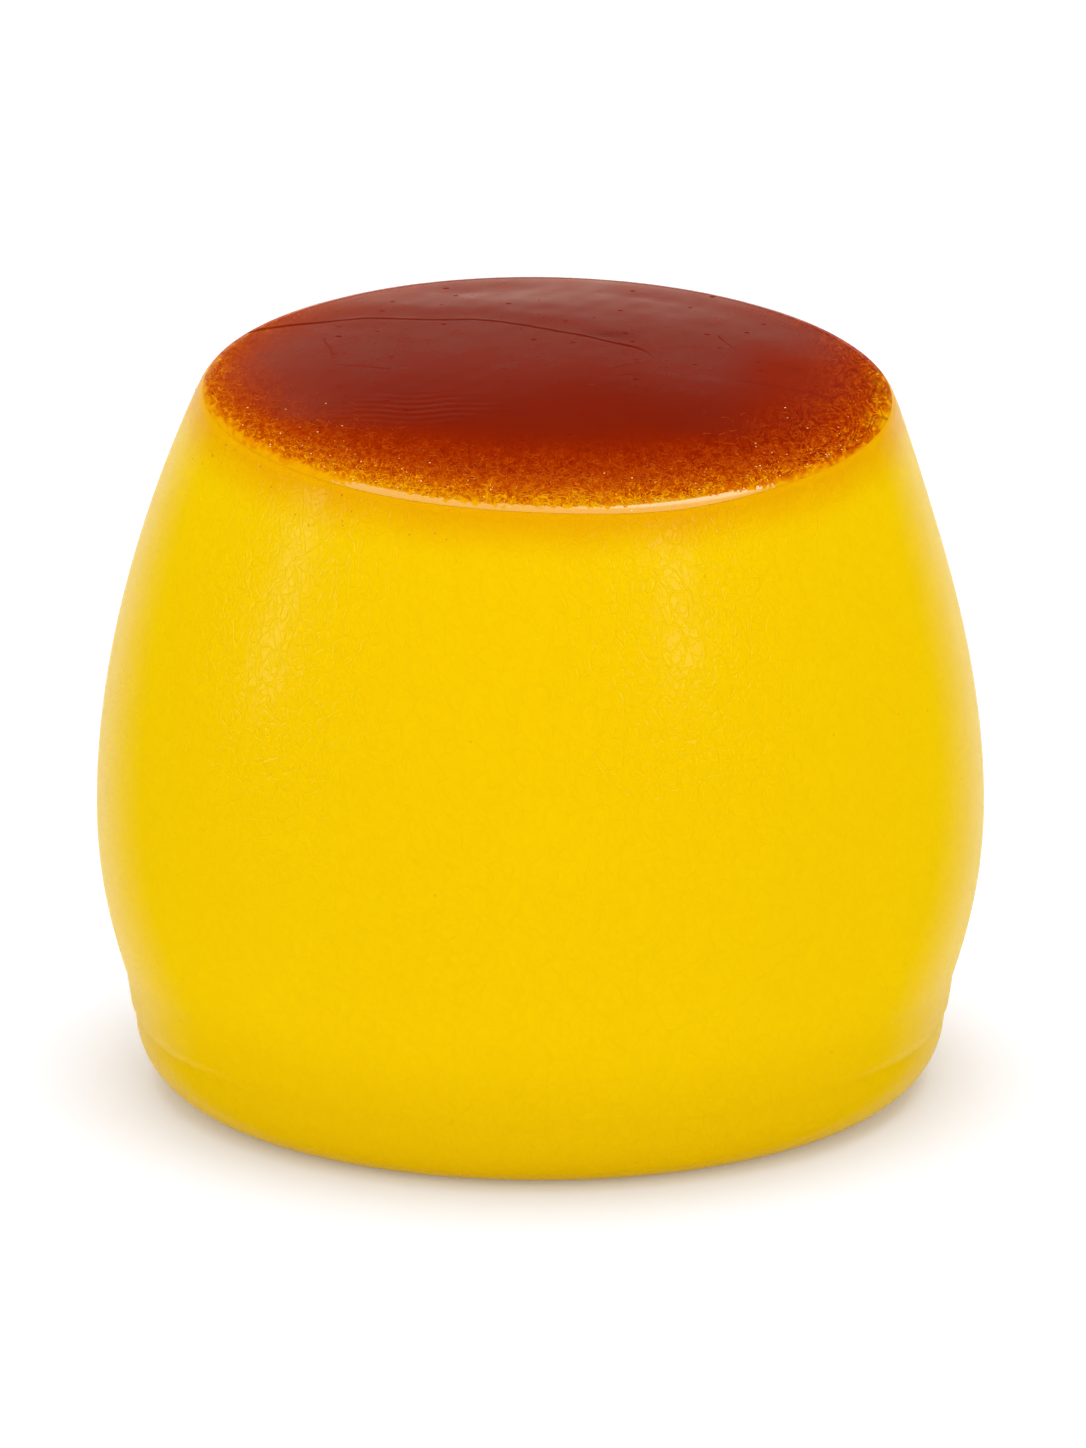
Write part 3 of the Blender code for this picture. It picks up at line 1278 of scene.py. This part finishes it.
@dataclass
class Caramel(TurnedPiece):
    """The layer of set caramel: a low crown with a rounded lip over the custard's shoulder.

    Args:
        shoulder: the rounding that it shares with the custard.
        edge: how it thins out, place by place round its edge.
        lip_start: angle where the lip's rounding starts, in degrees from the outward direction.
        lip_end: angle where it ends.
        edge_thickness: thickness of the thin edge.
        edge_tuck: how far the edge's underside goes inwards.
        crown_rise: height of the crown over the lip.
        middle_under: height of the underside.
        hollow: how far the crown lies below its solid, in millimetres, so that the waves stay inside.
        dimple: the dimple behind the crease.
        dimple_depth: how deep it is, in millimetres.
        ripples: the patch of fine ripples.
        ripple_height: how high they are, in millimetres.
        fold_depth: how deep the skin is folded behind the crease, in millimetres.
        curled_side: direction of the curled threads, in degrees round from the right.
        curled_thinning: how much thinner the caramel looks among them.
        dry_right: share of the wetness that the right side lacks.
        dry_rim: share of it that the far rim lacks.
        crease: places along the crease, in millimetres to the right and to the back.
    """

    name: str = "caramel_layer"
    node: Node = Node.CARAMEL
    finish: Finish = field(default_factory=CaramelFinish)
    shoulder: Shoulder = field(default_factory=Shoulder)
    edge: tuple[EdgeStation, ...] = EDGE
    lip_start: float = 87.0
    lip_end: float = 48.0
    edge_thickness: float = 0.35 * MM
    edge_tuck: float = 0.30 * MM
    crown_rise: float = 0.88 * MM
    middle_under: float = 50.6 * MM
    hollow: float = 0.04
    dimple: Patch = Patch((4.6 * MM, 9.9 * MM), (1.7 * MM, 0.95 * MM))
    dimple_depth: float = 0.008
    ripples: Patch = Patch((-10 * MM, -7.6 * MM), (6 * MM, 3.2 * MM))
    ripple_height: float = 0.0045
    fold_depth: float = 0.018
    curled_side: float = 358.0
    curled_thinning: float = 0.13
    dry_right: float = 0.70
    dry_rim: float = 0.85
    crease: tuple[tuple[float, float], ...] = (
        (-23.0, 10.9), (-21.2, 11.8), (-18.6, 12.6), (-16.4, 13.1), (-13.8, 13.7), (-11.4, 13.5),
        (-8.5, 13.0), (-5.5, 13.2), (-3.6, 12.6), (-1.7, 11.7), (1.3, 10.2), (2.8, 9.4), (5.1, 7.8),
        (6.4, 7.1), (7.1, 6.4), (8.4, 4.0),
    )

    def profile(self) -> np.ndarray:
        """Crown, lip and underside, from the top of the axis to its bottom."""
        inner = self.shoulder.inner
        radii = inner * np.linspace(0.0, 1.0, 130)
        crown = np.column_stack([radii, self.shoulder.top + self.crown_rise * (1 - (radii / inner) ** 2)])
        lip = self.shoulder.bend(self.lip_start, self.lip_end, 24)
        tuck = lip[-1] - np.array([self.edge_tuck, self.edge_thickness])
        under = [tuck, [tuck[0] * 0.5, self.middle_under], [0.0, self.middle_under]]
        return np.vstack([crown, lip, under])

    def thinning(self, points: np.ndarray) -> tuple[np.ndarray, ...]:
        """Reads the stations round the edge at each point.

        Args:
            points: the turned points.

        Returns:
            How far each point is inside the caramel's edge, the share of its full thickness there, how far
            inwards the threads fade, and how far it is inside the wet band, in millimetres.
        """
        x, y, z = points.T
        rim = self.shoulder.inner + self.shoulder.reach * math.cos(math.radians(self.lip_end))
        along = np.hypot(x, y) + np.clip(self.shoulder.top - z, 0.0, 1.0 * MM) * 0.35
        inside = (rim + 0.14 * MM - along) / MM
        turn = np.degrees(np.arctan2(y, x)) % 360
        stations = np.array([(s.around, s.inset, s.first, s.reach, s.fray, s.band) for s in self.edge])
        inset, first, reach, fray, band = (np.interp(turn, stations[:, 0], row) for row in stations[:, 1:].T)
        inward = inside - inset
        shade = 1 - (1 - first) * np.exp(-np.clip(inward, 0, None) / reach)
        return inward, shade + 0.03 * smooth(inward, 8.0, 13.0), fray, band - inward

    def relief(self, x: np.ndarray, y: np.ndarray, fold: np.ndarray) -> np.ndarray:
        """Soft waves, ripples, the dimple and the fold of skin.

        Args:
            x: places to the right of the middle.
            y: places to the back.
            fold: 1 where the skin is folded down behind the crease.

        Returns:
            Heights in millimetres.
        """
        ripple = np.sin(y / (0.17 * MM) + 1.7 * np.sin(x / (2.1 * MM)) + 1.1 * np.sin(x / (0.9 * MM)))
        relief = 0.010 * waves(x, y, 13 * MM, 3) + 0.0014 * waves(x, y * 1.4, 3.6 * MM, 5)
        relief = relief + 0.0002 * waves(x, y * 1.5, 1.4 * MM, 8)
        relief = relief + self.ripple_height * self.ripples.share(x, y) * ripple
        return relief - self.dimple_depth * self.dimple.share(x, y) - self.fold_depth * fold

    def wetness(self, points: np.ndarray, inward: np.ndarray) -> np.ndarray:
        """How wet the caramel is: dry on its thready front edge, at its far rim and on the right.

        Args:
            points: the turned points.
            inward: how far each is inside the edge, in millimetres.

        Returns:
            Values from 0 to 1.
        """
        x, y, _ = points.T
        facing = -np.sin(np.arctan2(y, x))
        near = smooth(facing, 0.35, 0.95)
        damp = smooth(inward, 6.0 + 10.0 * near, 2.5 + 6.5 * near)
        dry = damp * smooth(facing, -0.35, 0.5)
        right = smooth(x, 12 * MM, 17 * MM) * smooth(y, 12 * MM, 4 * MM)
        side = smooth(np.abs(x), 15 * MM, 21 * MM)
        behind = smooth(inward, 4.5, 0.3) * smooth(facing, -0.8, -0.2)
        rim = np.maximum(behind, smooth(inward, 2.0, 0.6) * side)
        return (1 - dry) * (1 - self.dry_right * right) * (1 - self.dry_rim * rim)

    def shape(self, points: np.ndarray) -> tuple[np.ndarray, dict[str, np.ndarray]]:
        """Gives the crown its soft dents, fine ripples and the fold of skin behind the crease.

        Args:
            points: the turned points.

        Returns:
            The shaped points, and the thickness, strands, marks and wetness that the finish reads.
        """
        x, y, z = points.T
        inward, shade, fray, band = self.thinning(points)
        knots = np.array(self.crease) * MM
        gap = y - np.interp(x, knots[:, 0], knots[:, 1])
        start, end = knots[0, 0], knots[-1, 0]
        crease = smooth(x, start, start + 1 * MM) * smooth(x, end, end - 2 * MM)
        fold = smooth(gap, -0.35 * MM, 0.35 * MM) * smooth(gap, 3.5 * MM, 0.5 * MM) * crease
        top = smooth(z, self.shoulder.top - 0.3 * MM, self.shoulder.top) * smooth(inward, 0.5, 5.0)
        shaped = points.copy()
        shaped[:, 2] = z + top * (self.relief(x, y, fold) - self.hollow) * MM
        around = np.arctan2(y, x)
        facing = -np.sin(around)
        away = np.abs((np.degrees(around) - self.curled_side + 180) % 360 - 180)
        curled = smooth(away, 22, 10) * smooth(inward, 2.1, 1.0)
        values = {
            "inward": inward,
            "shade": shade - self.curled_thinning * curled,
            "frayed": np.exp(-np.clip(inward, 0, None) / fray),
            "curled": curled,
            "crease_gap": gap / MM,
            "crease_reach": crease,
            "dimple": self.dimple.share(x, y),
            "wet": self.wetness(points, inward),
            "band": band,
            "fibrous": smooth(inward, 11.0, 3.0) * smooth(inward, 0.5, 1.2) * smooth(facing, -0.1, 0.9),
            "sparkle": smooth(inward, 9.0, 1.0) * smooth(inward, -0.2, 0.6) * smooth(facing, 0.0, 0.7),
        }
        return shaped, values


@dataclass(frozen=True)
class Scatter:
    """Small things strewn over a piece by a geometry tree, thickest where a stored number is high.

    Args:
        name: the new piece's name.
        node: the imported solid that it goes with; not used.
        finish: its finish.
        weight: name of the number on the surface that sets how thickly they lie.
        density: how many lie on a square metre where the weight is 1.
        smallest: smallest size, as a factor of the lump's own.
        largest: largest size.
        seed: seed of the random draw.
    """

    name: str
    node: Node
    finish: Finish
    weight: str
    density: float
    smallest: float = 0.6
    largest: float = 1.2
    seed: int = 1

    def lump(self, desk: GeometryDesk) -> Wire:
        """The mesh of one of the small things, lying on the XY plane."""
        raise NotImplementedError

    def build(self, surface: bpy.types.Object) -> bpy.types.Object:
        """Strews the small things over a surface.

        Args:
            surface: the piece that they lie on.

        Returns:
            One joined mesh of them all.
        """
        range_of_sizes = {"Smallest": self.smallest, "Largest": self.largest}
        sizes = {"Density": self.density, **range_of_sizes, "Seed": self.seed}
        desk = GeometryDesk(self.name + "_scatter", sizes)
        seed = desk.given("Seed")
        numbers = {"data_type": "FLOAT"}
        weight = desk.node("GeometryNodeInputNamedAttribute", numbers, {"Name": self.weight}, "Attribute")
        spread = {"Mesh": desk.given("Geometry"), "Density": weight * desk.given("Density"), "Seed": seed}
        method = {"distribute_method": "RANDOM"}
        points = desk.node("GeometryNodeDistributePointsOnFaces", method, spread, "Points")
        standing = Wire(desk, next(s for s in points.socket.node.outputs if s.name == "Rotation"))
        turns = {"Max": 2.0 * math.pi, "Seed": seed + 1}
        turn = desk.node("FunctionNodeRandomValue", numbers, turns, "Value")
        euler = desk.node("ShaderNodeCombineXYZ", {}, {2: turn})
        local = {"Rotation": standing, "Rotate By": desk.node("FunctionNodeEulerToRotation", {}, {0: euler})}
        facing = desk.node("FunctionNodeRotateRotation", {"rotation_space": "LOCAL"}, local)
        draw = {"Min": desk.given("Smallest"), "Max": desk.given("Largest"), "Seed": seed + 2}
        size = desk.node("FunctionNodeRandomValue", numbers, draw, "Value")
        settings = {"Points": points, "Instance": self.lump(desk), "Rotation": facing, "Scale": size}
        strewn = desk.node("GeometryNodeInstanceOnPoints", {}, settings)
        desk.deliver(strewn, self.finish.make())
        made = desk.bake(surface, self.name)
        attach(made, "root")
        return made


@dataclass(frozen=True)
class Fibres(Scatter):
    """Short curved fibres, half sunk.

    Args:
        bend_radius: radius of the curve that a fibre follows.
        sweep: how far round it goes, in degrees.
        thickness: radius of the fibre.
    """

    bend_radius: float = 0.34 * MM
    sweep: float = 100.0
    thickness: float = 0.034 * MM

    def lump(self, desk: GeometryDesk) -> Wire:
        """An arc with a four-sided section."""
        sizes = {"Resolution": 7, "Radius": self.bend_radius, "Sweep Angle": math.radians(self.sweep)}
        path = desk.node("GeometryNodeCurveArc", {"mode": "RADIUS"}, sizes, "Curve")
        ring = {"Resolution": 4, "Radius": self.thickness}
        section = desk.node("GeometryNodeCurvePrimitiveCircle", {}, ring)
        sweep = {"Curve": path, "Profile Curve": section, "Fill Caps": True}
        return desk.node("GeometryNodeCurveToMesh", {}, sweep)


@dataclass(frozen=True)
class Grains(Scatter):
    """Low round grains, half sunk.

    Args:
        grain_radius: radius of a grain.
        flatness: its height as a share of its width.
    """

    grain_radius: float = 0.08 * MM
    flatness: float = 0.6

    def lump(self, desk: GeometryDesk) -> Wire:
        """A flattened ball."""
        sizes = {"Radius": self.grain_radius, "Subdivisions": 2}
        ball = desk.node("GeometryNodeMeshIcoSphere", {}, sizes, "Mesh")
        return desk.node("GeometryNodeTransform", {}, {"Geometry": ball, "Scale": (1.0, 1.0, self.flatness)})


@dataclass(frozen=True)
class Softbox:
    """A soft rectangular light that faces the pudding from a metre away.

    Args:
        name: the light's name.
        azimuth: degrees round from the front, to the right.
        elevation: degrees above the floor.
        size: its width and height.
        power: its output in watts.
        matt: whether it lights matt surfaces too, or shows only in gloss.
    """

    name: str
    azimuth: float
    elevation: float
    size: tuple[float, float]
    power: float
    matt: bool = False

    def hang(self, aim: Vector) -> None:
        """Adds the light to the scene.

        Args:
            aim: the point that it faces.
        """
        data = bpy.data.lights.new(self.name, "AREA")
        data.shape = "RECTANGLE"
        data.size, data.size_y = self.size
        data.energy = self.power
        light = bpy.data.objects.new(self.name, data)
        light.visible_diffuse = self.matt
        bpy.context.scene.collection.objects.link(light)
        turn, up = math.radians(self.azimuth), math.radians(self.elevation)
        towards = Vector((math.sin(turn) * math.cos(up), -math.cos(turn) * math.cos(up), math.sin(up)))
        light.location = aim + towards
        light.rotation_euler = towards.to_track_quat("Z", "Y").to_euler()


@dataclass
class Studio:
    """The pale floor, the soft lights and the camera of the picture.

    Args:
        aim: the point that the camera looks at.
        distance: from the camera to that point.
        elevation: the camera's angle above the floor, in degrees.
        focal_pixels: focal length in pixels of a picture as high as picture_height.
        picture_height: height of that picture.
        sensor: height of the camera's sensor in millimetres.
        softboxes: the lights: one overhead, one on each side and a small one that brightens the lip.
        fill: even light on matt surfaces from all round.
        front_fill: how much more of it comes from the front.
        left_fill: how much more of it comes from the left.
        gloss_tint: colour of the bright strip behind the pudding, which only gloss shows.
        backdrop: brightness of the white behind everything.
        floor_half: half the floor's width.
        floor_colour: its colour, a little blue because the pudding tints it yellow.
        floor_glow: its own light.
    """

    aim: tuple[float, float, float] = (0.22 * MM, 0.0, 26.85 * MM)
    distance: float = 960.0 * MM
    elevation: float = 16.5
    focal_pixels: float = 12976.0
    picture_height: float = 1448.0
    sensor: float = 36.0
    softboxes: tuple[Softbox, ...] = (
        Softbox("overhead", 165, 80, (1.20, 1.06), 8.4, matt=True),
        Softbox("left", -79, 17, (0.17, 0.38), 17.0),
        Softbox("right", 40, 23, (0.16, 0.24), 10.5),
        Softbox("lip", 150, 58, (0.35, 0.25), 1.1),
    )
    fill: float = 0.38
    front_fill: float = 0.66
    left_fill: float = 0.06
    gloss_tint: Colour = (1.0, 0.935, 0.785)
    backdrop: float = 1.1
    floor_half: float = 4.0
    floor_colour: Colour = (0.82, 0.86, 0.98)
    floor_glow: float = 0.16

    def camera(self) -> None:
        """Places the camera and makes it the scene's own."""
        data = bpy.data.cameras.new("camera")
        data.sensor_fit = "VERTICAL"
        data.sensor_height = self.sensor
        data.lens = self.focal_pixels / self.picture_height * self.sensor
        data.clip_start = 0.01
        data.clip_end = 20.0
        camera = bpy.data.objects.new("camera", data)
        bpy.context.scene.collection.objects.link(camera)
        up = math.radians(self.elevation)
        back = Vector((0.0, -math.cos(up), math.sin(up)))
        camera.location = Vector(self.aim) + back * self.distance
        camera.rotation_euler = back.to_track_quat("Z", "Y").to_euler()
        bpy.context.scene.camera = camera

    @staticmethod
    def background(desk: NodeDesk, colour: Colour, strength: Wire | float) -> Wire:
        """One even or varying background light."""
        return desk.node("ShaderNodeBackground", {}, {"Color": (*colour, 1.0), "Strength": strength})

    def surroundings(self) -> None:
        """A white room: even light for matt surfaces, and for gloss a bright strip low behind the pudding."""
        world = bpy.data.worlds.new("white_room")
        bpy.context.scene.world = world
        world.use_nodes = True
        desk = NodeDesk(world.node_tree)
        side, back, up = desk.parts(desk.node("ShaderNodeTexCoord", output="Generated"))
        soft_edge = (up - abs(side - 0.03) * 0.5).step(0.432, 0.385) * 0.160
        strip = soft_edge + up.step(0.316, 0.285) * 0.29 + up.step(0.287, 0.266) * 1.05
        fill = back.step(0.3, -0.8) * self.front_fill + side.step(0.6, -0.6) * self.left_fill + self.fill
        even = self.background(desk, WHITE, fill)
        gloss = self.background(desk, self.gloss_tint, back.step(0.54, 0.80) * strip)
        white = self.background(desk, WHITE, self.backdrop)
        rays = (Ray.GLOSSY, Ray.CAMERA)
        glossy, seen = (desk.node("ShaderNodeLightPath", output=ray.value) for ray in rays)
        lit = desk.node("ShaderNodeMixShader", {}, {0: glossy, 1: even, 2: gloss})
        room = desk.node("ShaderNodeMixShader", {}, {0: seen, 1: lit, 2: white})
        desk.node("ShaderNodeOutputWorld", {}, {"Surface": room})

    def floor(self) -> None:
        """Lays the pale floor at the height of the foot."""
        mesh = bpy.data.meshes.new("floor")
        half = self.floor_half
        corners = [(-half, -half, 0.0), (half, -half, 0.0), (half, half, 0.0), (-half, half, 0.0)]
        mesh.from_pydata(corners, [], [(0, 1, 2, 3)])
        floor = bpy.data.objects.new("floor", mesh)
        bpy.context.scene.collection.objects.link(floor)
        material = bpy.data.materials.new("pale_floor")
        material.use_nodes = True
        desk = NodeDesk(material.node_tree)
        matt = {"Base Color": (*self.floor_colour, 1.0), "Roughness": 0.9, "Specular IOR Level": 0.0}
        glow = {"Emission Color": (*WHITE, 1.0), "Emission Strength": self.floor_glow}
        shader = desk.node("ShaderNodeBsdfPrincipled", {}, {**matt, **glow})
        desk.node("ShaderNodeOutputMaterial", {}, {"Surface": shader})
        mesh.materials.append(material)

    def build(self) -> None:
        """Sets up the whole studio with plain colour handling."""
        self.surroundings()
        for softbox in self.softboxes:
            softbox.hang(Vector(self.aim))
        self.floor()
        self.camera()
        bpy.context.scene.view_settings.view_transform = "Standard"


def strew(custard: bpy.types.Object, caramel: bpy.types.Object) -> list[bpy.types.Object]:
    """Strews the fibres, the glints and the specks.

    Args:
        custard: the custard's body, on which the brown specks lie.
        caramel: the layer of caramel, on which the fibres and the glints lie.

    Returns:
        The three joined pieces.
    """
    # painted highlight: the glints are tiny grains coloured pale cream to stand in for sparkles of light;
    # their weak gloss is real
    glint = SpeckFinish("painted_glint", 0.35, 0.12, light=(0.98, 0.80, 0.34), deep=(0.92, 0.56, 0.12))
    burnt = SpeckFinish("burnt_speck", 0.50, 0.05, light=(0.74, 0.22, 0.003), deep=(0.60, 0.12, 0.002))
    fibres = Fibres("caramel_fibres", Node.CARAMEL, ThreadFinish(), "fibrous", 4.5e6, seed=4)
    glints = Grains("caramel_glints", Node.CARAMEL, glint, "sparkle", 3.6e5, seed=7, grain_radius=0.060 * MM)
    specks = Grains("custard_specks", Node.CUSTARD, burnt, "spatter", 1.8e5, seed=11, grain_radius=0.062 * MM)
    return [fibres.build(caramel), glints.build(caramel), specks.build(custard)]


def main() -> None:
    """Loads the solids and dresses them."""
    logging.basicConfig(level=logging.INFO, format="%(name)s: %(message)s")
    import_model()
    Studio().build()
    custard, caramel = Custard().build(), Caramel().build()
    for piece in (custard, caramel, *strew(custard, caramel)):
        log.info("%s: %d faces", piece.name, len(piece.data.polygons))


if __name__ == "__main__":
    main()
